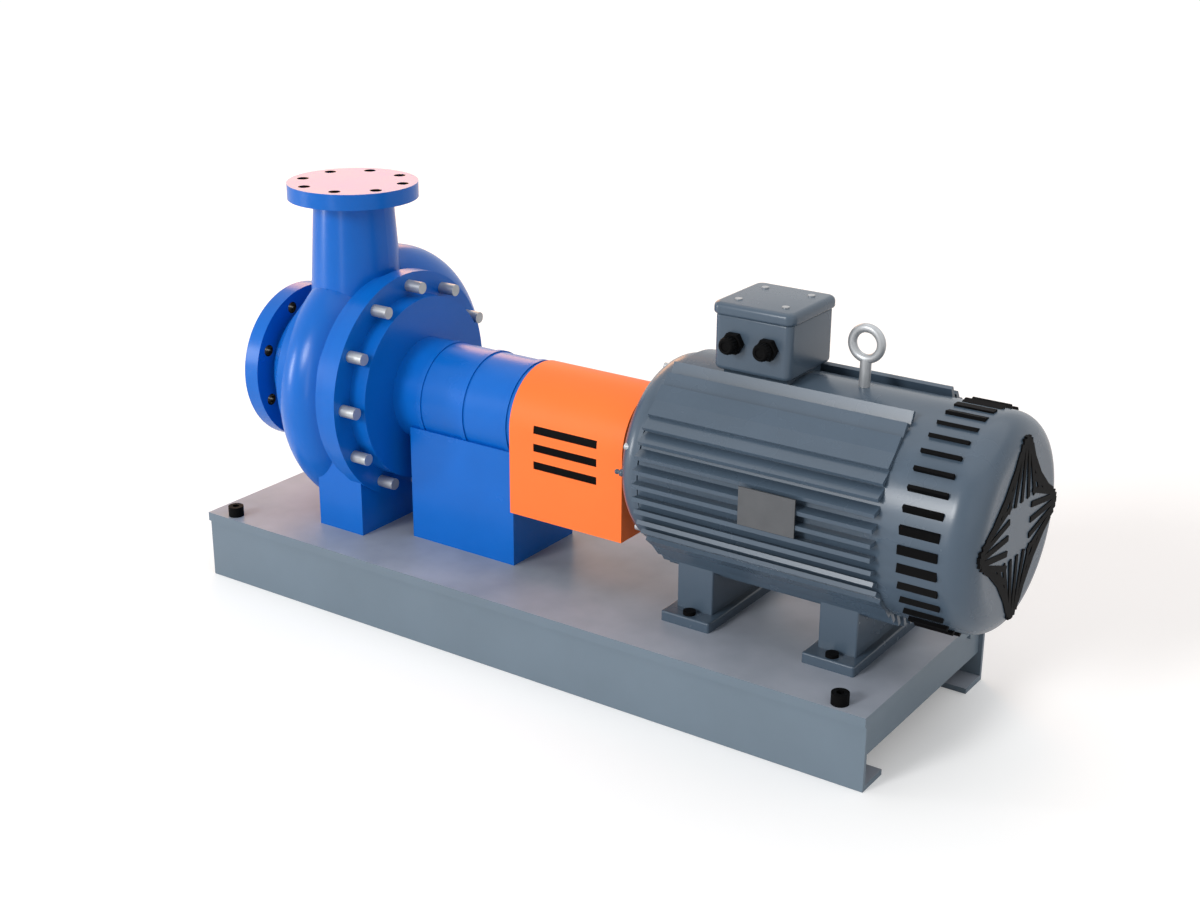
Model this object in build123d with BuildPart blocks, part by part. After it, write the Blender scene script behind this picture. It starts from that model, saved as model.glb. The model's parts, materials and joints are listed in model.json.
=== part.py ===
from build123d import *
import math
import os

os.makedirs("parts", exist_ok=True)

# Frame: X along the shaft with the pump at -X, Z up, origin under the middle of the base

# Base frame of two rolled channels under a thick plate
base_length = 1160
frame_width = 374
channel_height = 94
channel_flange = 54
channel_web = 6
channel_flange_thickness = 8
plate_thickness = 14
plate_side_overhang = 4
member_thickness = 8
end_member_inset = 6
end_member_depth = 50
inner_member_x = 195
foundation_hole_radius = 9
foundation_end_distance = 100
foundation_web_distance = 27
plate_screw_end_distance = 45
plate_screw_web_distance = 13
screw_hole_clearance = 0.5
plate_screw_radius = 6
plate_screw_head_radius = 12
plate_screw_head_height = 16
plate_screw_socket_radius = 6
plate_screw_socket_depth = 6

# Shaft line
shaft_height = 216
plate_top = channel_height + plate_thickness
shaft_z = plate_top + shaft_height

# Pump casing
discharge_x = -416
volute_ring_radius = 152
volute_tube_radius = 61
volute_side_offset = 56
volute_drop = 21
volute_core_radius = 140
suction_face_x = -546
suction_flange_radius = 125
suction_flange_thickness = 27
suction_bolt_circle_radius = 105
suction_cone_start_radius = 89
suction_cone_end_radius = 147
suction_cone_length = 63
suction_bore_radius = 62.5
suction_bore_depth = 70
impeller_chamber_radius = 68
impeller_chamber_depth = 16
impeller_clearance = 1
impeller_eye_radius = 54
impeller_eye_depth = 15
impeller_hub_radius = 20
impeller_blade_count = 6
impeller_blade_thickness = 6
impeller_blade_depth = 10
discharge_face_height = 305
discharge_flange_radius = 100
discharge_flange_thickness = 20
discharge_bolt_circle_radius = 80
discharge_neck_radius = 61
discharge_neck_root_radius = 73.5
discharge_neck_root_height = 90
flange_hole_radius = 9
flange_hole_count = 8
blank_thickness = 4
cover_x = -336
cover_thickness = 25
cover_radius = 176.5
casing_rim_radius = 170
casing_rim_thickness = 18
casing_foot_x = -360
casing_foot_length = 88
casing_foot_width = 240
casing_foot_height = 122

# Studs that hold the cover to the casing
stud_count = 12
stud_circle_radius = 157.4
stud_radius = 6
stud_nut_radius = 9
stud_nut_length = 28
stud_depth = 40

# Bearing bracket
bracket_flange_radius = 142
bracket_flange_thickness = 30
housing_radius = 79
housing_end_x = -49
housing_bore_depth = 60
band_radius = 81
band_width = 8
band_spacing = 80
first_band_x = -230
band_count = 3
bracket_foot_start_x = -252
bracket_foot_end_x = -58
bracket_foot_width = 150
bracket_foot_top = 286.5

# Shafts and coupling
shaft_radius = 16
motor_shaft_radius = 19
hub_radius = 48
hub_length = 42
spider_length = 18
hub_gap_x = 42

# Coupling guard, which starts where the bracket foot ends
guard_start_x = bracket_foot_end_x
guard_end_x = 138
guard_sheet = 3
guard_bottom = 196
guard_slot_length = 110
guard_slot_height = 12
guard_slot_pitch = 27
guard_slot_count = 3
guard_top_slot_z = 334
guard_seat = 0.3
guard_shaft_clearance = 6

# Motor
shield_start_x = 161
shield_radius = 138
shield_thickness = 38
shield_rounding = 32
shield_spigot_radius = 128
shield_gap = 6.5
shield_bolt_circle_radius = 130
shield_bolt_count = 6
shield_bolt_start = 43
shield_bolt_radius = 5
shield_bolt_setback = 11
shield_bolt_length = 22
core_radius = 145
core_start_x = shield_start_x + shield_thickness + shield_gap
core_end_x = 556.5
fin_count = 39
bare_crown_places = 5
fin_height = 25.5
fin_thickness = 6
fin_middle_radius = 148
cowl_end_x = 683
cowl_radius = 145.5
cowl_rounding = 36
vent_count = 36
vent_start_x = 586
vent_length = 53
vent_width = 12
vent_depth = 5
grille_bar_count = 36
grille_bar_radius = 80
grille_bar_length = 88
grille_bar_width = 8
grille_recess = 5
grille_thickness = 6.5

# Motor feet
motor_foot_x = 258
motor_foot_spacing = 221
foot_bar_length = 78
foot_bar_width = 206
foot_bar_thickness = 15
foot_bar_rounding = 4
foot_edge_rounding = 2.5
pedestal_length = 57
pedestal_width = 154
foot_bolt_y = 90
foot_bolt_radius = 9
foot_bolt_height = 5

# Terminal box
box_x = 323
box_length = 108
box_width = 112
box_bottom = 484
box_lid_bottom = 549
box_lid_length = 118
box_lid_width = 122
box_lid_thickness = 13
box_rounding = 9
box_edge_rounding = 5
box_pad_length = 96
box_pad_width = 92
lid_screw_spacing = 70
lid_screw_radius = 5
lid_screw_height = 5
gland_spacing = 51
gland_z = 514
gland_nut_radius = 13
gland_nut_length = 9
gland_cap_radius = 11
gland_cap_length = 13

# Lifting eye
eye_x = 459
eye_centre_z = 527
eye_ring_radius = 20.5
eye_tube_radius = 6
eye_shank_radius = 7.5

# Nameplate
nameplate_x = 411
nameplate_length = 82
nameplate_height = 52
nameplate_thickness = 2
nameplate_z = 336

shaft_axis = Axis((0, 0, shaft_z), (1, 0, 0))


def save(piece, label):
    piece.part.label = label
    export_step(piece.part, f"parts/{label}.step")


def shaft_plane(x):
    return Plane((x, 0, shaft_z), x_dir=(0, 1, 0), z_dir=(1, 0, 0))


# Places round the shaft, each turned the opposite way to its own angle
def counter_turned(radius, angles):
    places = []
    for angle in angles:
        across = radius * math.cos(math.radians(angle))
        up = radius * math.sin(math.radians(angle))
        places.append(Location((across, up), -angle))
    return places


# Base plate
foundation_spacing_x = base_length - 2 * foundation_end_distance
foundation_spacing_y = frame_width - 2 * foundation_web_distance
plate_screw_x = base_length / 2 - plate_screw_end_distance
plate_screw_y = frame_width / 2 - plate_screw_web_distance
plate_width = frame_width + 2 * plate_side_overhang
with BuildPart() as base_plate:
    with BuildSketch(Plane.XY.offset(channel_height)):
        Rectangle(base_length, plate_width)
    extrude(amount=plate_thickness)
    with BuildSketch(Plane.XY.offset(plate_top)):
        with GridLocations(2 * plate_screw_x, 2 * plate_screw_y, 2, 2):
            Circle(plate_screw_radius + screw_hole_clearance)
    extrude(amount=-plate_thickness, mode=Mode.SUBTRACT)
save(base_plate, "base_plate")


def channel(side):
    web_y = side * frame_width / 2
    with BuildPart() as rail:
        with BuildSketch(Plane.YZ.offset(-base_length / 2)):
            with BuildLine():
                Polyline(
                    (web_y, 0),
                    (web_y - side * channel_flange, 0),
                    (web_y - side * channel_flange, channel_flange_thickness),
                    (web_y - side * channel_web, channel_flange_thickness),
                    (web_y - side * channel_web, channel_height - channel_flange_thickness),
                    (web_y - side * channel_flange, channel_height - channel_flange_thickness),
                    (web_y - side * channel_flange, channel_height),
                    (web_y, channel_height),
                    close=True,
                )
            make_face()
        extrude(amount=base_length)
        with BuildSketch(Plane.XY):
            with Locations((0, side * foundation_spacing_y / 2)):
                with GridLocations(foundation_spacing_x, 0, 2, 1):
                    Circle(foundation_hole_radius)
        extrude(amount=channel_flange_thickness, mode=Mode.SUBTRACT)
        with BuildSketch(Plane.XY.offset(channel_height)):
            # The channel is tapped for the plate screws
            with Locations((0, side * plate_screw_y)):
                with GridLocations(2 * plate_screw_x, 0, 2, 1):
                    Circle(plate_screw_radius)
        extrude(amount=-channel_flange_thickness, mode=Mode.SUBTRACT)
    return rail


save(channel(-1), "front_channel")
save(channel(1), "rear_channel")


def cross_member(start_x, depth):
    half_inside = frame_width / 2 - channel_web
    half_between = frame_width / 2 - channel_flange
    bottom = channel_height - depth
    shoulder = channel_height - channel_flange_thickness
    with BuildPart() as member:
        with BuildSketch(Plane.YZ.offset(start_x)):
            with BuildLine():
                Polyline(
                    (-half_inside, bottom),
                    (half_inside, bottom),
                    (half_inside, shoulder),
                    (half_between, shoulder),
                    (half_between, channel_height),
                    (-half_between, channel_height),
                    (-half_between, shoulder),
                    (-half_inside, shoulder),
                    close=True,
                )
            make_face()
        extrude(amount=member_thickness)
    return member


end_member_x = base_length / 2 - end_member_inset - member_thickness
save(cross_member(end_member_x, end_member_depth), "motor_end_member")
save(cross_member(-end_member_x - member_thickness, end_member_depth), "pump_end_member")
save(cross_member(inner_member_x, end_member_depth), "motor_cross_member")
save(cross_member(-inner_member_x - member_thickness, end_member_depth), "pump_cross_member")

# Four screws that hold the plate down on the channels
with BuildPart() as plate_screws:
    with GridLocations(2 * plate_screw_x, 2 * plate_screw_y, 2, 2):
        with Locations((0, 0, plate_top)):
            Cylinder(plate_screw_head_radius, plate_screw_head_height, align=(Align.CENTER, Align.CENTER, Align.MIN))
        with Locations((0, 0, channel_height - channel_flange_thickness)):
            Cylinder(
                plate_screw_radius,
                channel_flange_thickness + plate_thickness,
                align=(Align.CENTER, Align.CENTER, Align.MIN),
            )
    with BuildSketch(Plane.XY.offset(plate_top + plate_screw_head_height)):
        with GridLocations(2 * plate_screw_x, 2 * plate_screw_y, 2, 2):
            RegularPolygon(plate_screw_socket_radius, 6)
    extrude(amount=-plate_screw_socket_depth, mode=Mode.SUBTRACT)
save(plate_screws, "plate_screws")

# Pump casing, one casting with both nozzles and its foot
discharge_face_z = shaft_z + discharge_face_height
casing_rear_x = cover_x
suction_cone_x = suction_face_x + suction_flange_thickness
volute_z = shaft_z - volute_drop
volute_reach = volute_ring_radius + volute_tube_radius
with BuildPart() as volute_casing:
    # The ring sits off the shaft line, so its passage stands out further on the far side
    with BuildSketch(Plane.XZ.offset(-volute_side_offset)):
        with Locations((discharge_x, volute_z + volute_ring_radius)):
            Circle(volute_tube_radius)
    revolve(axis=Axis((0, volute_side_offset, volute_z), (1, 0, 0)))
    # Its lowest part is cut level, as a pad on the plate
    with BuildSketch(Plane.XY.offset(plate_top)):
        with Locations((discharge_x, volute_side_offset)):
            Rectangle(2 * volute_reach, 2 * volute_reach)
    extrude(amount=-volute_reach, mode=Mode.SUBTRACT)
    with BuildSketch(Plane.XZ):
        with BuildLine():
            Polyline(
                (suction_face_x, shaft_z),
                (suction_face_x, shaft_z + suction_flange_radius),
                (suction_cone_x, shaft_z + suction_flange_radius),
                (suction_cone_x, shaft_z + suction_cone_start_radius),
                (suction_cone_x + suction_cone_length, shaft_z + suction_cone_end_radius),
                (casing_rear_x - casing_rim_thickness, shaft_z + volute_core_radius),
                (casing_rear_x - casing_rim_thickness, shaft_z + casing_rim_radius),
                (casing_rear_x, shaft_z + casing_rim_radius),
                (casing_rear_x, shaft_z),
                close=True,
            )
        make_face()
    revolve(axis=shaft_axis)
    with BuildSketch(Plane.XY.offset(shaft_z + discharge_neck_root_height)):
        with Locations((discharge_x, 0)):
            Circle(discharge_neck_root_radius)
    with BuildSketch(Plane.XY.offset(discharge_face_z - blank_thickness - discharge_flange_thickness)):
        with Locations((discharge_x, 0)):
            Circle(discharge_neck_radius)
    loft()
    with BuildSketch(Plane.XY.offset(discharge_face_z - blank_thickness)):
        with Locations((discharge_x, 0)):
            Circle(discharge_flange_radius)
    extrude(amount=-discharge_flange_thickness)
    with BuildSketch(Plane.XY.offset(plate_top)):
        with Locations((casing_foot_x, 0)):
            Rectangle(casing_foot_length, casing_foot_width)
    extrude(amount=casing_foot_height)
    with BuildSketch(shaft_plane(cover_x)):
        Circle(cover_radius)
    extrude(amount=cover_thickness, mode=Mode.SUBTRACT)
    with BuildSketch(Plane.XY.offset(discharge_face_z - blank_thickness)):
        with Locations((discharge_x, 0)):
            with PolarLocations(discharge_bolt_circle_radius, flange_hole_count, start_angle=180 / flange_hole_count):
                Circle(flange_hole_radius)
    extrude(amount=-discharge_flange_thickness, mode=Mode.SUBTRACT)
    with BuildSketch(shaft_plane(suction_face_x)):
        with PolarLocations(suction_bolt_circle_radius, flange_hole_count, start_angle=180 / flange_hole_count):
            Circle(flange_hole_radius)
    extrude(amount=suction_flange_thickness, mode=Mode.SUBTRACT)
    with BuildSketch(shaft_plane(suction_face_x)):
        Circle(suction_bore_radius)
    extrude(amount=suction_bore_depth, mode=Mode.SUBTRACT)
    with BuildSketch(shaft_plane(suction_face_x + suction_bore_depth)):
        Circle(impeller_chamber_radius)
    extrude(amount=impeller_chamber_depth, mode=Mode.SUBTRACT)
    with BuildSketch(shaft_plane(casing_rear_x)):
        with PolarLocations(stud_circle_radius, stud_count):
            Circle(stud_radius)
    extrude(amount=cover_thickness - stud_depth, mode=Mode.SUBTRACT)
save(volute_casing, "volute_casing")

# Flat blank on the discharge flange
with BuildPart() as discharge_blank:
    with BuildSketch(Plane.XY.offset(discharge_face_z - blank_thickness)):
        with Locations((discharge_x, 0)):
            Circle(discharge_flange_radius)
            with PolarLocations(discharge_bolt_circle_radius, flange_hole_count, start_angle=180 / flange_hole_count):
                Circle(flange_hole_radius, mode=Mode.SUBTRACT)
    extrude(amount=blank_thickness)
save(discharge_blank, "discharge_blank")

# Impeller eye with its blades, in a chamber behind the suction bore
impeller_face_x = suction_face_x + suction_bore_depth + impeller_chamber_depth
with BuildPart() as impeller:
    with BuildSketch(shaft_plane(impeller_face_x)):
        Circle(impeller_chamber_radius - impeller_clearance)
        Circle(impeller_eye_radius, mode=Mode.SUBTRACT)
    extrude(amount=-impeller_eye_depth)
    with BuildSketch(shaft_plane(impeller_face_x)):
        Circle(impeller_hub_radius)
        with PolarLocations(0, impeller_blade_count):
            with Locations((impeller_eye_radius / 2, 0)):
                Rectangle(impeller_eye_radius + impeller_blade_thickness, impeller_blade_thickness)
    extrude(amount=-impeller_blade_depth)
save(impeller, "impeller")

# Casing cover
with BuildPart() as casing_cover:
    with BuildSketch(shaft_plane(cover_x)):
        Circle(cover_radius)
        with PolarLocations(stud_circle_radius, stud_count):
            Circle(stud_radius, mode=Mode.SUBTRACT)
    extrude(amount=cover_thickness)
save(casing_cover, "casing_cover")

cover_face_x = cover_x + cover_thickness
with BuildPart() as cover_studs:
    with BuildSketch(shaft_plane(cover_face_x)):
        with PolarLocations(stud_circle_radius, stud_count):
            Circle(stud_nut_radius)
    extrude(amount=stud_nut_length)
    with BuildSketch(shaft_plane(cover_face_x)):
        with PolarLocations(stud_circle_radius, stud_count):
            Circle(stud_radius)
    extrude(amount=-stud_depth)
save(cover_studs, "cover_studs")

# Bearing bracket with its flange and bands
with BuildPart() as bearing_bracket:
    with BuildSketch(shaft_plane(cover_face_x)):
        Circle(bracket_flange_radius)
    extrude(amount=bracket_flange_thickness)
    with BuildSketch(shaft_plane(cover_face_x)):
        Circle(housing_radius)
    extrude(amount=housing_end_x - cover_face_x)
    for band in range(band_count):
        with BuildSketch(shaft_plane(first_band_x + band * band_spacing - band_width / 2)):
            Circle(band_radius)
        extrude(amount=band_width)
    with BuildSketch(shaft_plane(housing_end_x)):
        Circle(shaft_radius)
    extrude(amount=-housing_bore_depth, mode=Mode.SUBTRACT)
save(bearing_bracket, "bearing_bracket")

bracket_foot_middle_x = (bracket_foot_start_x + bracket_foot_end_x) / 2
with BuildPart() as bracket_foot:
    with BuildSketch(Plane.XY.offset(plate_top)):
        with Locations((bracket_foot_middle_x, 0)):
            Rectangle(bracket_foot_end_x - bracket_foot_start_x, bracket_foot_width)
    extrude(amount=bracket_foot_top - plate_top)
    with BuildSketch(shaft_plane(bracket_foot_start_x)):
        Circle(housing_radius)
    extrude(amount=bracket_foot_end_x - bracket_foot_start_x, mode=Mode.SUBTRACT)
    for band in range(band_count):
        with BuildSketch(shaft_plane(first_band_x + band * band_spacing - band_width / 2)):
            Circle(band_radius)
        extrude(amount=band_width, mode=Mode.SUBTRACT)
save(bracket_foot, "bracket_foot")

# Shafts and flexible coupling
pump_hub_x = hub_gap_x - spider_length / 2 - hub_length
motor_hub_x = hub_gap_x + spider_length / 2
with BuildPart() as pump_shaft:
    with BuildSketch(shaft_plane(housing_end_x - housing_bore_depth)):
        Circle(shaft_radius)
    extrude(amount=pump_hub_x + hub_length - housing_end_x + housing_bore_depth)
save(pump_shaft, "pump_shaft")


def coupling_hub(start_x, bore_radius):
    with BuildPart() as hub:
        with BuildSketch(shaft_plane(start_x)):
            Circle(hub_radius)
            Circle(bore_radius, mode=Mode.SUBTRACT)
        extrude(amount=hub_length)
    return hub


save(coupling_hub(pump_hub_x, shaft_radius), "pump_coupling_hub")
save(coupling_hub(motor_hub_x, motor_shaft_radius), "motor_coupling_hub")

with BuildPart() as coupling_spider:
    with BuildSketch(shaft_plane(pump_hub_x + hub_length)):
        Circle(hub_radius)
    extrude(amount=spider_length)
save(coupling_spider, "coupling_spider")

# Coupling guard: an arched sheet with slotted sides, which slips over the bearing housing
guard_inner_radius = housing_radius + guard_seat
guard_radius = guard_inner_radius + guard_sheet
guard_length = guard_end_x - guard_start_x
guard_middle_x = (guard_start_x + guard_end_x) / 2
with BuildPart() as coupling_guard:
    with BuildSketch(shaft_plane(guard_start_x)):
        Circle(guard_radius)
        with Locations((0, (guard_bottom - shaft_z) / 2)):
            Rectangle(2 * guard_radius, shaft_z - guard_bottom)
        Circle(guard_inner_radius, mode=Mode.SUBTRACT)
        with Locations((0, (guard_bottom - shaft_z) / 2)):
            Rectangle(2 * guard_inner_radius, shaft_z - guard_bottom, mode=Mode.SUBTRACT)
    extrude(amount=guard_length)
    with BuildSketch(Plane.XZ.offset(-guard_radius - guard_sheet)):
        for row in range(guard_slot_count):
            with Locations((guard_middle_x, guard_top_slot_z - row * guard_slot_pitch)):
                Rectangle(guard_slot_length, guard_slot_height)
    extrude(amount=2 * (guard_radius + guard_sheet), mode=Mode.SUBTRACT)
save(coupling_guard, "coupling_guard")

# Plate that closes the guard at the motor end, round the motor's shaft
with BuildPart() as guard_end_plate:
    with BuildSketch(shaft_plane(guard_end_x)):
        Circle(guard_inner_radius)
        with Locations((0, (guard_bottom - shaft_z) / 2)):
            Rectangle(2 * guard_inner_radius, shaft_z - guard_bottom)
        Circle(motor_shaft_radius + guard_shaft_clearance, mode=Mode.SUBTRACT)
    extrude(amount=-guard_sheet)
save(guard_end_plate, "guard_end_plate")

# Motor
with BuildPart() as motor_shaft:
    with BuildSketch(shaft_plane(motor_hub_x)):
        Circle(motor_shaft_radius)
    extrude(amount=shield_start_x - motor_hub_x)
save(motor_shaft, "motor_shaft")

shield_end_x = shield_start_x + shield_thickness
with BuildPart() as drive_end_shield:
    with BuildSketch(Plane.XZ):
        with BuildLine():
            Line((shield_start_x, shaft_z), (shield_start_x, shaft_z + shield_radius - shield_rounding))
            RadiusArc(
                (shield_start_x, shaft_z + shield_radius - shield_rounding),
                (shield_start_x + shield_rounding, shaft_z + shield_radius),
                shield_rounding,
            )
            Polyline(
                (shield_start_x + shield_rounding, shaft_z + shield_radius),
                (shield_end_x, shaft_z + shield_radius),
                (shield_end_x, shaft_z + shield_spigot_radius),
                (core_start_x, shaft_z + shield_spigot_radius),
                (core_start_x, shaft_z),
                (shield_start_x, shaft_z),
            )
        make_face()
    revolve(axis=shaft_axis)
    with BuildSketch(shaft_plane(shield_start_x)):
        with PolarLocations(shield_bolt_circle_radius, shield_bolt_count, start_angle=shield_bolt_start):
            Circle(shield_bolt_radius)
    extrude(amount=shield_bolt_setback + shield_bolt_length, mode=Mode.SUBTRACT)
save(drive_end_shield, "drive_end_shield")

# Fins stand all round the frame, apart from the bare crown under the terminal box
fin_length = core_end_x - core_start_x
fin_pitch = 360 / (fin_count + bare_crown_places)
first_fin = 90 + fin_pitch * (bare_crown_places + 1) / 2
fin_places = counter_turned(fin_middle_radius, [first_fin + fin * fin_pitch for fin in range(fin_count)])
with BuildPart() as stator_frame:
    with BuildSketch(shaft_plane(core_start_x)):
        Circle(core_radius)
        with Locations(*fin_places):
            Rectangle(fin_height, fin_thickness)
    extrude(amount=fin_length)
    with BuildSketch(Plane.XY.offset(shaft_z)):
        with Locations((box_x, 0)):
            Rectangle(box_pad_length, box_pad_width)
    extrude(amount=box_bottom - shaft_z)
    with BuildSketch(Plane.XY.offset(box_bottom)):
        with Locations((box_x, 0)):
            Rectangle(box_length, box_width)
    extrude(amount=box_bottom - shaft_z, mode=Mode.SUBTRACT)
save(stator_frame, "stator_frame")

vent_places = counter_turned(cowl_radius, [vent * 360 / vent_count for vent in range(vent_count)])
bar_places = counter_turned(grille_bar_radius, [bar * 360 / grille_bar_count for bar in range(grille_bar_count)])
with BuildPart() as fan_cover:
    with BuildSketch(Plane.XZ):
        with BuildLine():
            Polyline(
                (cowl_end_x, shaft_z),
                (core_end_x, shaft_z),
                (core_end_x, shaft_z + cowl_radius),
                (cowl_end_x - cowl_rounding, shaft_z + cowl_radius),
            )
            RadiusArc(
                (cowl_end_x - cowl_rounding, shaft_z + cowl_radius),
                (cowl_end_x, shaft_z + cowl_radius - cowl_rounding),
                cowl_rounding,
            )
            Line((cowl_end_x, shaft_z + cowl_radius - cowl_rounding), (cowl_end_x, shaft_z))
        make_face()
    revolve(axis=shaft_axis)
    with BuildSketch(shaft_plane(vent_start_x)):
        with Locations(*vent_places):
            Rectangle(vent_depth, vent_width)
    extrude(amount=vent_length, mode=Mode.SUBTRACT)
    with BuildSketch(shaft_plane(cowl_end_x - grille_recess)):
        with Locations(*bar_places):
            Rectangle(grille_bar_length, grille_bar_width)
    extrude(amount=grille_recess, mode=Mode.SUBTRACT)
save(fan_cover, "fan_cover")

# Dark inserts that fill the vents and stand a little out of them
with BuildPart() as side_vents:
    with BuildSketch(shaft_plane(vent_start_x)):
        with Locations(*vent_places):
            Rectangle(vent_depth, vent_width)
    extrude(amount=vent_length)
save(side_vents, "side_vents")

# Star of bars let into the end of the fan cover
with BuildPart() as end_grille:
    with BuildSketch(shaft_plane(cowl_end_x - grille_recess)):
        with Locations(*bar_places):
            Rectangle(grille_bar_length, grille_bar_width)
    extrude(amount=grille_thickness)
save(end_grille, "end_grille")


def motor_foot(middle_x):
    with BuildPart() as foot:
        with BuildSketch(Plane.XY.offset(plate_top)):
            with Locations((middle_x, 0)):
                RectangleRounded(foot_bar_length, foot_bar_width, foot_bar_rounding)
        extrude(amount=foot_bar_thickness)
        fillet(foot.faces().sort_by(Axis.Z)[-1].edges(), radius=foot_edge_rounding)
        with BuildSketch(Plane.XY.offset(plate_top)):
            with Locations((middle_x, 0)):
                RectangleRounded(pedestal_length, pedestal_width, foot_edge_rounding)
        extrude(amount=shaft_height)
        with BuildSketch(shaft_plane(core_start_x)):
            Circle(core_radius)
            with Locations(*fin_places):
                Rectangle(fin_height, fin_thickness)
        extrude(amount=fin_length, mode=Mode.SUBTRACT)
    return foot


save(motor_foot(motor_foot_x), "drive_end_foot")
save(motor_foot(motor_foot_x + motor_foot_spacing), "fan_end_foot")

with BuildPart() as foot_bolts:
    with BuildSketch(Plane.XY.offset(plate_top + foot_bar_thickness)):
        with Locations((motor_foot_x + motor_foot_spacing / 2, 0)):
            with GridLocations(motor_foot_spacing, 2 * foot_bolt_y, 2, 2):
                Circle(foot_bolt_radius)
    extrude(amount=foot_bolt_height)
save(foot_bolts, "foot_bolts")

with BuildPart() as terminal_box:
    with BuildSketch(Plane.XY.offset(box_bottom)):
        with Locations((box_x, 0)):
            RectangleRounded(box_length, box_width, box_rounding)
    extrude(amount=box_lid_bottom - box_bottom)
    fillet(terminal_box.faces().sort_by(Axis.Z)[0].edges(), radius=box_edge_rounding)
save(terminal_box, "terminal_box")

with BuildPart() as terminal_box_lid:
    with BuildSketch(Plane.XY.offset(box_lid_bottom)):
        with Locations((box_x, 0)):
            RectangleRounded(box_lid_length, box_lid_width, box_rounding)
    extrude(amount=box_lid_thickness)
    fillet(terminal_box_lid.faces().sort_by(Axis.Z)[-1].edges(), radius=box_edge_rounding)
save(terminal_box_lid, "terminal_box_lid")

with BuildPart() as lid_screws:
    with BuildSketch(Plane.XY.offset(box_lid_bottom + box_lid_thickness)):
        with Locations((box_x, 0)):
            with GridLocations(lid_screw_spacing, lid_screw_spacing, 2, 2):
                Circle(lid_screw_radius)
    extrude(amount=lid_screw_height)
save(lid_screws, "lid_screws")

# Cable glands on the near side of the box
with BuildPart() as cable_glands:
    with BuildSketch(Plane.XZ.offset(box_width / 2)):
        with Locations((box_x, gland_z)):
            with GridLocations(gland_spacing, 0, 2, 1):
                RegularPolygon(gland_nut_radius, 6, major_radius=False)
    extrude(amount=gland_nut_length)
    with BuildSketch(Plane.XZ.offset(box_width / 2 + gland_nut_length)):
        with Locations((box_x, gland_z)):
            with GridLocations(gland_spacing, 0, 2, 1):
                Circle(gland_cap_radius)
    extrude(amount=gland_cap_length)
save(cable_glands, "cable_glands")

# Plug in the spare entry on the far side of the box
with BuildPart() as blanking_plug:
    with BuildSketch(Plane.XZ.offset(-box_width / 2)):
        with Locations((box_x + gland_spacing / 2, gland_z)):
            RegularPolygon(gland_nut_radius, 6, major_radius=False)
    extrude(amount=-gland_nut_length)
save(blanking_plug, "blanking_plug")

with BuildPart() as shield_bolts:
    with BuildSketch(shaft_plane(shield_start_x + shield_bolt_setback)):
        with PolarLocations(shield_bolt_circle_radius, shield_bolt_count, start_angle=shield_bolt_start):
            Circle(shield_bolt_radius)
    extrude(amount=shield_bolt_length)
save(shield_bolts, "shield_bolts")

with BuildPart() as lifting_eye:
    with BuildSketch(Plane.XY.offset(eye_centre_z)):
        with Locations((eye_x + eye_ring_radius, 0)):
            Circle(eye_tube_radius)
    revolve(axis=Axis((eye_x, 0, eye_centre_z), (0, 1, 0)))
    with BuildSketch(Plane.XY.offset(shaft_z + core_radius)):
        with Locations((eye_x, 0)):
            Circle(eye_shank_radius)
    extrude(amount=eye_centre_z - eye_ring_radius - core_radius - shaft_z)
save(lifting_eye, "lifting_eye")

fin_tip_y = -fin_middle_radius - fin_height / 2
with BuildPart() as nameplate:
    with BuildSketch(Plane.XZ.offset(-fin_tip_y)):
        with Locations((nameplate_x, nameplate_z)):
            Rectangle(nameplate_length, nameplate_height)
    extrude(amount=nameplate_thickness)
save(nameplate, "nameplate")
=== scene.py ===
import json
import bpy
import numpy as np
from mathutils import Matrix, Vector


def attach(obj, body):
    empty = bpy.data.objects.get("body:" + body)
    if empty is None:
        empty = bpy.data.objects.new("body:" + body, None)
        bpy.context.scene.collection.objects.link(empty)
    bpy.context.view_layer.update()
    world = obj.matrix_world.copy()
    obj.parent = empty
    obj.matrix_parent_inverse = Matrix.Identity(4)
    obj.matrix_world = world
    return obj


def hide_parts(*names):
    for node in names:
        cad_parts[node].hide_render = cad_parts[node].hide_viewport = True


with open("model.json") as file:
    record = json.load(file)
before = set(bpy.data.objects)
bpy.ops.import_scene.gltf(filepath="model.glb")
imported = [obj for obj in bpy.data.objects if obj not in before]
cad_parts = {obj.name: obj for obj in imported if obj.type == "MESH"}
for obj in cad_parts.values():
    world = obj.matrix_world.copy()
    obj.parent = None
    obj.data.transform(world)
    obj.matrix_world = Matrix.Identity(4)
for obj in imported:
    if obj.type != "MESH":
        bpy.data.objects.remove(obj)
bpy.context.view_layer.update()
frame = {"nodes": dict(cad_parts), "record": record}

cadNodes = frame["nodes"]
print("stage: frame loaded,", len(cadNodes), "nodes")


def meshPiece(name, points, faces, smooth=True):
    # points as rows of x, y, z in metres, faces as rows of point numbers
    mesh = bpy.data.meshes.new(name)
    mesh.from_pydata(np.asarray(points).reshape(-1, 3).tolist(), [], [list(face) for face in faces])
    mesh.polygons.foreach_set("use_smooth", np.full(len(mesh.polygons), smooth))
    mesh.update()
    piece = bpy.data.objects.new(name, mesh)
    bpy.context.scene.collection.objects.link(piece)
    return piece


def skinFaces(levels, around, start=0):
    # closed skin through a stack of equal rings of points, numbered from start and from bottom to top,
    # with a flat face at each end
    grid = start + np.arange(levels * around).reshape(levels, around)
    beside = np.roll(grid, -1, 1)
    walls = np.stack([grid[:-1], beside[:-1], beside[1:], grid[1:]], -1).reshape(-1, 4)
    return walls.tolist() + [grid[0, ::-1].tolist(), grid[-1].tolist()]


def feed(owner, socket, value):
    # a socket takes a link from another node's socket, or a plain value; the owner is a material or the world
    if isinstance(value, bpy.types.NodeSocket):
        owner.node_tree.links.new(value, socket)
    else:
        socket.default_value = value


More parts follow.
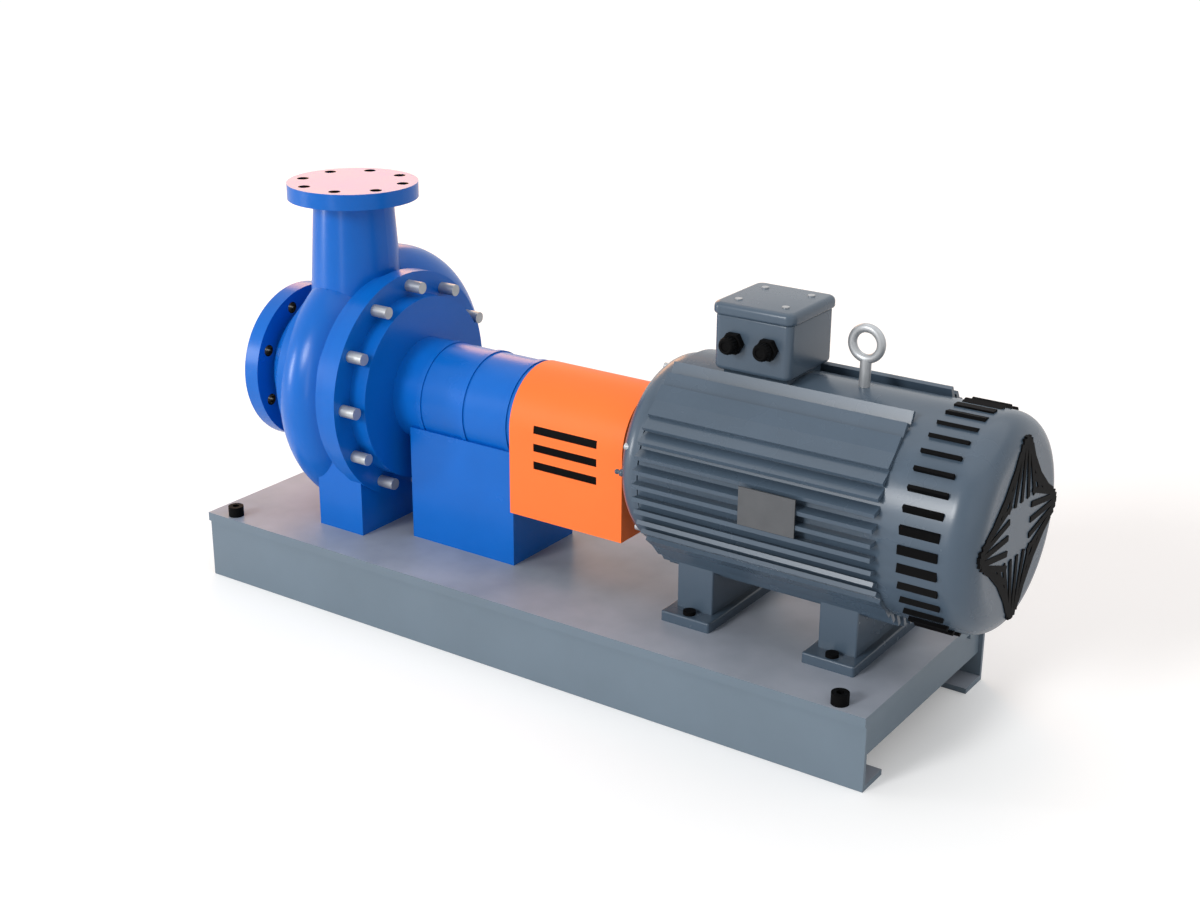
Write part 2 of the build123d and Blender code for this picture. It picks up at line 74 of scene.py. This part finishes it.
def addNode(owner, kind, settings=None, **inputs):
    # inputs go by socket name, with _ for a space
    node = owner.node_tree.nodes.new(kind)
    for key, value in (settings or {}).items():
        setattr(node, key, value)
    for key, value in inputs.items():
        feed(owner, node.inputs[key.replace("_", " ")], value)
    return node


def work(owner, operation, first, second=0.0):
    # one sum in the node tree, each side a socket or a number
    node = addNode(owner, "ShaderNodeMath", {"operation": operation})
    for socket, value in zip(node.inputs, (first, second)):
        feed(owner, socket, value)
    return node.outputs[0]


def distance(owner, first, second):
    # square root of the sum of two squares
    squares = [work(owner, "MULTIPLY", side, side) for side in (first, second)]
    return work(owner, "SQRT", work(owner, "ADD", *squares))


def emptyMaterial(name):
    material = bpy.data.materials.new(name)
    material.use_nodes = True
    material.node_tree.nodes.clear()
    return material


def linearColour(red, green, blue, share=1.0):
    # screen values 0..255 to the linear values that a shader reads, by the curve of an sRGB screen
    values = np.array([red, green, blue]) / 255.0
    linear = np.where(values <= 0.04045, values / 12.92, ((values + 0.055) / 1.055) ** 2.4)
    return tuple(float(v) for v in np.clip(linear * share, 0, 1)) + (1.0,)


def blendColour(material, share, under, over):
    # the colour under gives way to the screen colour over by the share
    mix = addNode(material, "ShaderNodeMix", {"data_type": "RGBA"})
    feed(material, mix.inputs["Factor"], share)
    feed(material, mix.inputs[6], under)   # 6 and 7 are the node's two colours, 2 is the mixed one
    feed(material, mix.inputs[7], linearColour(*over))
    return mix.outputs[2]


# bolt circles of both flanges and the suction bore, in metres; painted shade makes the holes near-black above
# dischargeZ and before suctionX, which lie just behind the flanges
flanges = {
    "dischargeX": -0.416,
    "dischargeZ": 0.6045,
    "dischargeCircle": 0.080,
    "suctionX": -0.5185,
    "suctionCircle": 0.105,
    "shaftZ": 0.324,
    "hole": 0.0092,
    "count": 8,
    "holeShadeColour": (14, 14, 16),
    "boreReach": 0.0690,
    "boreStart": -0.5450,
    "boreEnd": -0.3800,
    "boreColour": (70, 66, 63),
}


def boltHoles(material, across, up, circle):
    # 1 inside the holes of a bolt circle: the angle is folded into one pitch with its hole in the middle,
    # and the distance from that hole's centre is compared with the hole's radius
    reach = distance(material, across, up)
    pitch = 2 * np.pi / flanges["count"]
    turn = work(material, "FLOORED_MODULO", work(material, "ARCTAN2", up, across), pitch)
    turn = work(material, "SUBTRACT", turn, pitch / 2)
    side = work(material, "MULTIPLY", reach, work(material, "SINE", turn))
    out = work(material, "SUBTRACT", work(material, "MULTIPLY", reach, work(material, "COSINE", turn)), circle)
    return work(material, "LESS_THAN", distance(material, side, out), flanges["hole"])


def paintHoleShadeAndBareBore(material, place, paint):
    # painted shade: the bolt holes of both flanges are painted near-black inside, standing in for the shade in them
    x, y, z = addNode(material, "ShaderNodeSeparateXYZ", Vector=place).outputs
    high = work(material, "SUBTRACT", z, flanges["shaftZ"])
    discharge = boltHoles(material, work(material, "SUBTRACT", x, flanges["dischargeX"]), y,
                          flanges["dischargeCircle"])
    discharge = work(material, "MULTIPLY", discharge, work(material, "GREATER_THAN", z, flanges["dischargeZ"]))
    suction = boltHoles(material, y, high, flanges["suctionCircle"])
    suction = work(material, "MULTIPLY", suction, work(material, "LESS_THAN", x, flanges["suctionX"]))
    paint = blendColour(material, work(material, "MAXIMUM", discharge, suction), paint, flanges["holeShadeColour"])
    # the suction bore is bare casting: within its radius of the shaft line, from the face inwards
    inside = work(material, "LESS_THAN", distance(material, y, high), flanges["boreReach"])
    length = work(material, "MULTIPLY", work(material, "GREATER_THAN", x, flanges["boreStart"]),
                  work(material, "LESS_THAN", x, flanges["boreEnd"]))
    return blendColour(material, work(material, "MULTIPLY", inside, length), paint, flanges["boreColour"])


def paintedTopLight(material, facing, drift, paint, topLight):
    # painted light: faces that look straight up are made paler, more and less with the broad noise,
    # whose middle value is a half and so gives the share that is asked for
    up = addNode(material, "ShaderNodeSeparateXYZ", Vector=facing).outputs["Z"]
    topLift = work(material, "MULTIPLY", drift, 2 * topLight["share"])
    level = work(material, "GREATER_THAN", up, topLight["leastUp"])
    return blendColour(material, work(material, "MULTIPLY", level, topLift), paint, topLight["colour"])


# the three sizes of noise in a finish; its colour runs from dark to light tone over driftRange of the broadest
noise = {
    "driftRange": (0.3, 0.7),
    "drift": {"Detail": 4.0, "Roughness": 0.6},
    "grain": {"Detail": 3.0, "Roughness": 0.55},
    "swell": {"Detail": 2.0},
}


def finish(name, look):
    # colour drifts between two tones over broad noise in object space; roughness follows the grain,
    # or on smooth gloss paint, which has no grain, the same broad noise
    material = emptyMaterial(name)
    coordinates = addNode(material, "ShaderNodeTexCoord")
    place = coordinates.outputs["Object"]
    drift = addNode(material, "ShaderNodeTexNoise", Vector=place, Scale=look["driftScale"], **noise["drift"])
    tone = addNode(material, "ShaderNodeValToRGB", Fac=drift.outputs["Fac"])
    for end, position, share in zip(tone.color_ramp.elements, noise["driftRange"],
                                    (look["darkShare"], look["lightShare"])):
        end.position = position
        end.color = linearColour(*look["colour"], share=share)
    colour = tone.outputs["Color"]
    # painted shade in the flange bolt holes, and the bare casting colour inside the suction bore
    if look.get("holeShadeAndBareBore"):
        colour = paintHoleShadeAndBareBore(material, place, colour)
    # painted light: upward faces are made paler
    if look.get("topLight"):
        colour = paintedTopLight(material, coordinates.outputs["Normal"], drift.outputs["Fac"], colour, look["topLight"])
    shader = addNode(material, "ShaderNodeBsdfPrincipled", Base_Color=colour)
    texture = drift if look.get("smooth") else addGrain(material, look, place, shader)
    gloss = addNode(material, "ShaderNodeMapRange", Value=texture.outputs["Fac"], To_Min=look["roughness"][0],
                    To_Max=look["roughness"][1])
    feed(material, shader.inputs["Roughness"], gloss.outputs["Result"])
    for socket, value in look["shader"].items():
        shader.inputs[socket].default_value = value
    addNode(material, "ShaderNodeOutputMaterial", Surface=shader.outputs[0])
    return material


def addGrain(material, look, place, shader):
    # two sizes of noise, a fine one that may be stretched along an axis and a broader one, add up to the bump
    stretch = addNode(material, "ShaderNodeMapping", Vector=place, Scale=look.get("stretch", (1, 1, 1)))
    grain = addNode(material, "ShaderNodeTexNoise", Vector=stretch.outputs[0], Scale=look["grainScale"],
                    **noise["grain"])
    swell = addNode(material, "ShaderNodeTexNoise", Vector=place, Scale=look["swellScale"], **noise["swell"])
    height = work(material, "ADD", grain.outputs["Fac"], swell.outputs["Fac"])
    bump = addNode(material, "ShaderNodeBump", Height=height, Strength=look["bump"], Distance=look["bumpHeight"])
    feed(material, shader.inputs["Normal"], bump.outputs["Normal"])
    return grain


# camera, from the photo's own lines and circles: angles in degrees, lens and sensor in mm, the rest in metres
view = {
    "azimuth": 34.5119,
    "elevation": 20.5069,
    "roll": 0.3357,
    "place": (1.4094, -1.9850, 1.1920),
    "lens": 53.108,
    "sensor": 36,
    "farthest": 100,
}


def aimCamera():
    # back is the unit vector from the object to the camera, then right and up are turned by the roll
    azimuth, elevation, roll = np.radians([view["azimuth"], view["elevation"], view["roll"]])
    back = Vector((np.sin(azimuth) * np.cos(elevation), -np.cos(azimuth) * np.cos(elevation), np.sin(elevation)))
    flat = Vector((np.cos(azimuth), np.sin(azimuth), 0))
    lift = flat.cross(-back)
    right = flat * np.cos(roll) + lift * np.sin(roll)
    up = lift * np.cos(roll) - flat * np.sin(roll)
    data = bpy.data.cameras.new("camera")
    data.lens = view["lens"]
    data.sensor_width = view["sensor"]
    data.clip_end = view["farthest"]
    camera = bpy.data.objects.new("camera", data)
    bpy.context.scene.collection.objects.link(camera)
    camera.matrix_world = Matrix.Translation(view["place"]) @ Matrix((right, up, back)).transposed().to_4x4()
    bpy.context.scene.camera = camera


aimCamera()
print("stage: camera set")

# the floor lies a hair under the feet and glows a little for the camera alone; lines is its grid's count each way
studio = {
    "floorColour": 0.86,
    "floorGlow": 0.20,
    "floorReach": 22,
    "floorLines": 5,
    "floorZ": -0.0004,
    "worldOnObject": 0.43,
    "worldSeen": 1.0,
}

# soft suns, each from a direction and with its spread in degrees: a main one from the front left, weaker ones from
# the right and from above
suns = {
    "sun": {"from": (-0.27, -0.88, 0.42), "energy": 1.50, "spread": 17},
    "fill": {"from": (1.0, -0.30, 0.35), "energy": 0.22, "spread": 60},
    "overhead": {"from": (0.10, 0.20, 1.0), "energy": 1.05, "spread": 80},
}

# panels that the paint mirrors: a warm one behind on the left for the top faces, a small one low on the left for
# the volute, and a tall strip in front for the neck
panels = {
    "rosePanel": {"place": (-2.45, 2.35, 1.62), "target": (-0.4, 0, 0.3), "energy": 25, "width": 1.5, "height": 1.3,
                  "colour": (1.0, 0.44, 0.13)},
    "sidePanel": {"place": (-2.35, -1.60, 0.62), "target": (-0.45, 0, 0.4), "energy": 18, "width": 0.25,
                  "height": 0.7, "colour": (1.0, 1.0, 1.0)},
    "frontStrip": {"place": (-0.20, -2.60, 0.80), "target": (-0.42, 0, 0.5), "energy": 6, "width": 0.3,
                   "height": 1.5, "colour": (1.0, 1.0, 1.0)},
}


def makeFloor():
    # flat square grid of evenly spaced points
    lines = studio["floorLines"]
    side = np.linspace(-studio["floorReach"], studio["floorReach"], lines)
    x, y = np.meshgrid(side, side)
    points = np.stack([x, y, np.full_like(x, studio["floorZ"])], -1)
    corner = np.arange(lines * (lines - 1)).reshape(lines - 1, lines)[:, :-1].ravel()
    faces = np.stack([corner, corner + 1, corner + lines + 1, corner + lines], 1)
    floor = meshPiece("floor", points, faces, smooth=False)
    material = emptyMaterial("paleFloor")
    rays = addNode(material, "ShaderNodeLightPath")
    matt = addNode(material, "ShaderNodeBsdfDiffuse", Color=(studio["floorColour"],) * 3 + (1,))
    glow = addNode(material, "ShaderNodeEmission", Strength=rays.outputs["Is Camera Ray"],
                   Color=(studio["floorGlow"],) * 3 + (1,))
    both = addNode(material, "ShaderNodeAddShader")
    for socket, shader in zip(both.inputs, (matt, glow)):
        feed(material, socket, shader.outputs[0])
    addNode(material, "ShaderNodeOutputMaterial", Surface=both.outputs[0])
    floor.data.materials.append(material)


def makeWorld():
    # the camera, mirrors and glass see it white, and it lights the object by less
    world = bpy.data.worlds.new("studio")
    world.use_nodes = True
    world.node_tree.nodes.clear()
    rays = addNode(world, "ShaderNodeLightPath").outputs
    seen = work(world, "MAXIMUM", rays["Is Camera Ray"], rays["Is Glossy Ray"])
    seen = work(world, "MAXIMUM", seen, rays["Is Transmission Ray"])
    strength = addNode(world, "ShaderNodeMapRange", Value=seen, To_Min=studio["worldOnObject"],
                       To_Max=studio["worldSeen"])
    background = addNode(world, "ShaderNodeBackground", Strength=strength.outputs["Result"], Color=(1, 1, 1, 1))
    addNode(world, "ShaderNodeOutputWorld", Surface=background.outputs[0])
    bpy.context.scene.world = world


def addLamp(name, kind, place, target, **settings):
    data = bpy.data.lights.new(name, kind)
    for key, value in settings.items():
        setattr(data, key, value)
    lamp = bpy.data.objects.new(name, data)
    bpy.context.scene.collection.objects.link(lamp)
    lamp.location = place
    lamp.rotation_euler = (Vector(target) - Vector(place)).to_track_quat("-Z", "Y").to_euler()


makeFloor()
makeWorld()
for name, sun in suns.items():
    addLamp(name, "SUN", sun["from"], (0, 0, 0), energy=sun["energy"], angle=np.radians(sun["spread"]))
for name, panel in panels.items():
    addLamp(name, "AREA", panel["place"], panel["target"], energy=panel["energy"], color=panel["colour"],
            shape="RECTANGLE", size=panel["width"], size_y=panel["height"])
bpy.context.scene.view_settings.view_transform = "Standard"
print("stage: floor, world and lamps")

# finishes of the imported nodes
# the pump paint carries painted shade in its flange bolt holes
pumpPaint = {"colour": (6, 97, 187), "darkShare": 0.94, "lightShare": 1.04, "driftScale": 9.0,
             "smooth": True, "roughness": (0.22, 0.30), "holeShadeAndBareBore": True, "shader": {"Specular IOR Level": 0.26}}
# the base paint has painted light on its upward faces
basePaint = {"colour": (106, 120, 132), "darkShare": 0.94, "lightShare": 1.04, "driftScale": 5.0,
             "grainScale": 300.0, "swellScale": 30.0, "roughness": (0.36, 0.46), "bump": 0.06, "bumpHeight": 0.0006,
             "topLight": {"colour": (184, 187, 198), "share": 0.50, "leastUp": 0.9},
             "shader": {"Specular IOR Level": 0.22}}
motorPaint = {"colour": (71, 86, 101), "darkShare": 0.94, "lightShare": 1.05, "driftScale": 9.0,
              "smooth": True, "roughness": (0.24, 0.30), "shader": {"Specular IOR Level": 0.42}}
guardPaint = {"colour": (255, 120, 55), "darkShare": 0.95, "lightShare": 1.0, "driftScale": 8.0,
              "grainScale": 620.0, "swellScale": 60.0, "roughness": (0.40, 0.52), "bump": 0.10, "bumpHeight": 0.0004,
              "shader": {"Specular IOR Level": 0.20}}
zincSteel = {"colour": (176, 179, 182), "darkShare": 0.86, "lightShare": 1.04, "driftScale": 60.0,
             "grainScale": 900.0, "swellScale": 200.0, "roughness": (0.30, 0.46), "bump": 0.12, "bumpHeight": 0.0002,
             "shader": {"Metallic": 0.55}}
shaftSteel = {"colour": (176, 176, 178), "darkShare": 0.85, "lightShare": 1.04, "driftScale": 40.0,
              "grainScale": 240.0, "stretch": (8, 1, 1), "swellScale": 90.0, "roughness": (0.26, 0.42), "bump": 0.2,
              "bumpHeight": 0.0002, "shader": {"Metallic": 1.0}}
blackSteel = {"colour": (11, 11, 12), "darkShare": 0.8, "lightShare": 1.15, "driftScale": 50.0,
              "grainScale": 700.0, "swellScale": 140.0, "roughness": (0.46, 0.64), "bump": 0.14, "bumpHeight": 0.0003,
              "shader": {"Specular IOR Level": 0.04}}
plateMetal = {"colour": (90, 92, 95), "darkShare": 0.92, "lightShare": 1.06, "driftScale": 30.0,
              "grainScale": 260.0, "stretch": (1, 1, 9), "swellScale": 40.0, "roughness": (0.38, 0.56), "bump": 0.1,
              "bumpHeight": 0.0002, "shader": {"Metallic": 0.6}}
rubber = {"colour": (30, 30, 32), "darkShare": 0.85, "lightShare": 1.1, "driftScale": 60.0,
          "grainScale": 800.0, "swellScale": 150.0, "roughness": (0.6, 0.75), "bump": 0.2, "bumpHeight": 0.0004,
          "shader": {"Specular IOR Level": 0.3}}

finishes = {
    "pump_paint": finish("pumpPaint", pumpPaint),
    "base_paint": finish("basePaint", basePaint),
    "motor_paint": finish("motorPaint", motorPaint),
    "guard_paint": finish("guardPaint", guardPaint),
    "zinc_steel": finish("zincSteel", zincSteel),
    "shaft_steel": finish("shaftSteel", shaftSteel),
    "black_steel": finish("blackSteel", blackSteel),
    "plate_metal": finish("plateMetal", plateMetal),
    "rubber": finish("rubber", rubber),
}


def dressNodes():
    slots = {part["node"]: part["material_slot"] for part in frame["record"]["subparts"]}
    for name, node in cadNodes.items():
        node.data.materials.clear()
        node.data.materials.append(finishes[slots[name]])


dressNodes()
print("stage: finishes on the nodes")

# painted shade: black screens that close the slots of the coupling guard, a little behind its outer face, so the
# slots show as dark shade
slotShadeScreens = {
    "startX": -0.0152,
    "endX": 0.0952,
    "middles": (0.334, 0.307, 0.280),
    "halfHeight": 0.0062,
    "outerRadius": 0.0813,
    "thickness": 0.0016,
    "weave": 0.00025,
    "weavePitch": 0.004,
    "columns": 120,
    "rows": 14,
}


def makeSlotShadeScreens():
    # each screen is a grid in x and z whose y follows the guard: its radius above the shaft line, flat below,
    # and a product of two sines raises a weave on both faces; the rim joins the two faces
    look = slotShadeScreens
    across, up = look["columns"], look["rows"]
    grid = np.arange((across + 1) * (up + 1)).reshape(up + 1, across + 1)
    quad = np.stack([grid[:-1, :-1], grid[:-1, 1:], grid[1:, 1:], grid[1:, :-1]], -1).reshape(-1, 4)
    rim = np.concatenate([grid[0, :-1], grid[:-1, -1], grid[-1, :0:-1], grid[:0:-1, 0]])
    following = np.roll(rim, -1)
    size = grid.size
    points, faces = [], []
    for side in (-1, 1):
        for middle in look["middles"]:
            x, z = np.meshgrid(np.linspace(look["startX"], look["endX"], across + 1),
                               np.linspace(middle - look["halfHeight"], middle + look["halfHeight"], up + 1))
            rise = np.maximum(z - flanges["shaftZ"], 0)
            weave = (look["weave"] * np.sin(2 * np.pi * x / look["weavePitch"])
                     * np.sin(2 * np.pi * z / look["weavePitch"]))
            outer = side * (np.sqrt(look["outerRadius"] ** 2 - rise ** 2) + weave)
            inner = outer - side * look["thickness"]
            start = size * len(points)
            points += [np.stack([x, outer, z], -1).reshape(-1, 3), np.stack([x, inner, z], -1).reshape(-1, 3)]
            front, back = quad + start, quad[:, ::-1] + start + size
            wall = np.stack([rim, rim + size, following + size, following], -1) + start
            block = np.concatenate([front, back, wall])
            faces.append(block if side < 0 else block[:, ::-1])   # the far side is a mirror image, so turned round
    piece = meshPiece("slotShadeScreens", np.concatenate(points), np.concatenate(faces))
    # the black finish on the screens is painted shade inside the guard
    piece.data.materials.append(finishes["black_steel"])
    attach(piece, "root")


makeSlotShadeScreens()

# grease nipple on the near side of the drive end shield: distance along x and radius, from the shield to the tip
greaseNipple = {
    "place": (0.1665, -0.1189, 0.3198),
    "profile": ((0, 0.0052), (-0.0055, 0.0052), (-0.0060, 0.0030), (-0.0100, 0.0026), (-0.0108, 0.0036),
                (-0.0130, 0.0036), (-0.0145, 0.0022), (-0.0150, 0.0)),
    "around": 40,
}


def makeGreaseNipple():
    # a profile of distance along -x and radius, carried round an axis that is parallel to the shaft
    look = greaseNipple
    steps, around = len(look["profile"]), look["around"]
    along, radius = np.array(look["profile"]).T
    turn = np.linspace(0, 2 * np.pi, around, endpoint=False)
    x, y, z = look["place"]
    ring = np.stack([x + along[:, None] + 0 * turn, y + radius[:, None] * np.cos(turn),
                     z + radius[:, None] * np.sin(turn)], -1)
    points = np.concatenate([ring[:-1].reshape(-1, 3), [[x + along[-1], y, z]]])
    grid = np.arange((steps - 1) * around).reshape(steps - 1, around)
    beside = np.roll(grid, -1, 1)
    walls = np.stack([grid[:-1], grid[1:], beside[1:], beside[:-1]], -1).reshape(-1, 4)
    tip = np.stack([grid[-1], np.full(around, (steps - 1) * around), beside[-1]], -1)
    base = [grid[0].tolist()]
    piece = meshPiece("greaseNipple", points, walls.tolist() + tip.tolist() + base)
    piece.data.materials.append(finishes["motor_paint"])
    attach(piece, "root")


makeGreaseNipple()
print("stage: slot screens and grease nipple")

# cast body and lid of the terminal box, rounded at every edge
terminalBox = {
    "middleX": 0.323,
    "steps": 8,
    "body": {"halfLength": 0.0575, "halfWidth": 0.0595, "bottom": 0.4725, "top": 0.549, "corner": 0.010,
             "bottomEdge": 0.008, "topEdge": 0.003},
    "lid": {"halfLength": 0.0612, "halfWidth": 0.0632, "bottom": 0.549, "top": 0.5655, "corner": 0.0135,
            "bottomEdge": 0.004, "topEdge": 0.0075},
}


def makeTerminalBoxPart(name, look, node):
    # a rounded rectangle carried upwards, drawn in along a quarter circle at the bottom and at the top edge
    quarter = np.linspace(0, np.pi / 2, terminalBox["steps"] + 1)
    inset = np.concatenate([look["bottomEdge"] * (1 - np.sin(quarter)), look["topEdge"] * (1 - np.cos(quarter))])
    height = np.concatenate([look["bottom"] + look["bottomEdge"] * (1 - np.cos(quarter)),
                             look["top"] - look["topEdge"] * (1 - np.sin(quarter))])
    turn = (quarter[None] + np.arange(4)[:, None] * np.pi / 2).ravel()
    sideX = np.repeat([1, -1, -1, 1], len(quarter)) * (look["halfLength"] - look["corner"])
    sideY = np.repeat([1, 1, -1, -1], len(quarter)) * (look["halfWidth"] - look["corner"])
    radius = (look["corner"] - inset)[:, None]
    rings = np.stack([terminalBox["middleX"] + sideX + radius * np.cos(turn), sideY + radius * np.sin(turn),
                      height[:, None] + 0 * turn], -1)
    piece = meshPiece(name, rings, skinFaces(*rings.shape[:2]))
    piece.data.materials.append(finishes["motor_paint"])
    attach(piece, "root")
    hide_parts(node)


makeTerminalBoxPart("terminalBoxBody", terminalBox["body"], "terminal_box")
makeTerminalBoxPart("terminalBoxLid", terminalBox["lid"], "terminal_box_lid")

# cable glands: hexagon body, short collar and a ribbed dome nut round its sealed entry; each row of the profile is
# distance from the wall, radius, and the outline of that ring
glands = {
    "x": (0.2975, 0.3485),
    "z": 0.514,
    "wall": -0.0590,
    "around": 144,
    "ribs": 18,
    "ribDepth": 0.030,
    "ribSteepness": 3,
    "profile": ((0.0, 0.0135, "hexagon"), (0.0095, 0.0135, "hexagon"), (0.0108, 0.0126, "hexagon"),
                (0.0110, 0.0106, "round"), (0.0126, 0.0106, "round"), (0.0128, 0.0118, "ribbed"),
                (0.0205, 0.0118, "ribbed"), (0.0238, 0.0104, "round"), (0.0252, 0.0088, "round"),
                (0.0250, 0.0064, "round"), (0.0236, 0.0060, "round"), (0.0236, 0.0004, "round")),
}


def makeCableGlands():
    # radius along the gland times the ring's own outline, carried round a line that leaves the box square to its
    # wall; the hexagon is 1 over the cosine of the angle from its nearest flat, the ribs a cosine cut off at 1
    look = glands
    along, radius = np.array([row[:2] for row in look["profile"]]).T
    outline = np.array([row[2] for row in look["profile"]])[:, None]
    turn = np.linspace(0, 2 * np.pi, look["around"], endpoint=False)
    hexagon = 1 / np.cos(np.mod(turn, np.pi / 3) - np.pi / 6)
    ribs = 1 + look["ribDepth"] * np.clip(look["ribSteepness"] * np.cos(look["ribs"] * turn), -1, 1)
    reach = radius[:, None] * np.where(outline == "hexagon", hexagon, np.where(outline == "ribbed", ribs, 1.0))
    rings = [np.stack([x + reach * np.cos(turn), look["wall"] - along[:, None] + 0 * turn,
                       look["z"] + reach * np.sin(turn)], -1) for x in look["x"]]
    faces = []
    for gland in range(len(rings)):
        faces += skinFaces(*reach.shape, start=gland * reach.size)
    piece = meshPiece("cableGlandSet", np.concatenate(rings), faces, smooth=False)
    piece.data.materials.append(finishes["black_steel"])
    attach(piece, "root")
    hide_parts("cable_glands")


makeCableGlands()
print("stage: terminal box and glands")
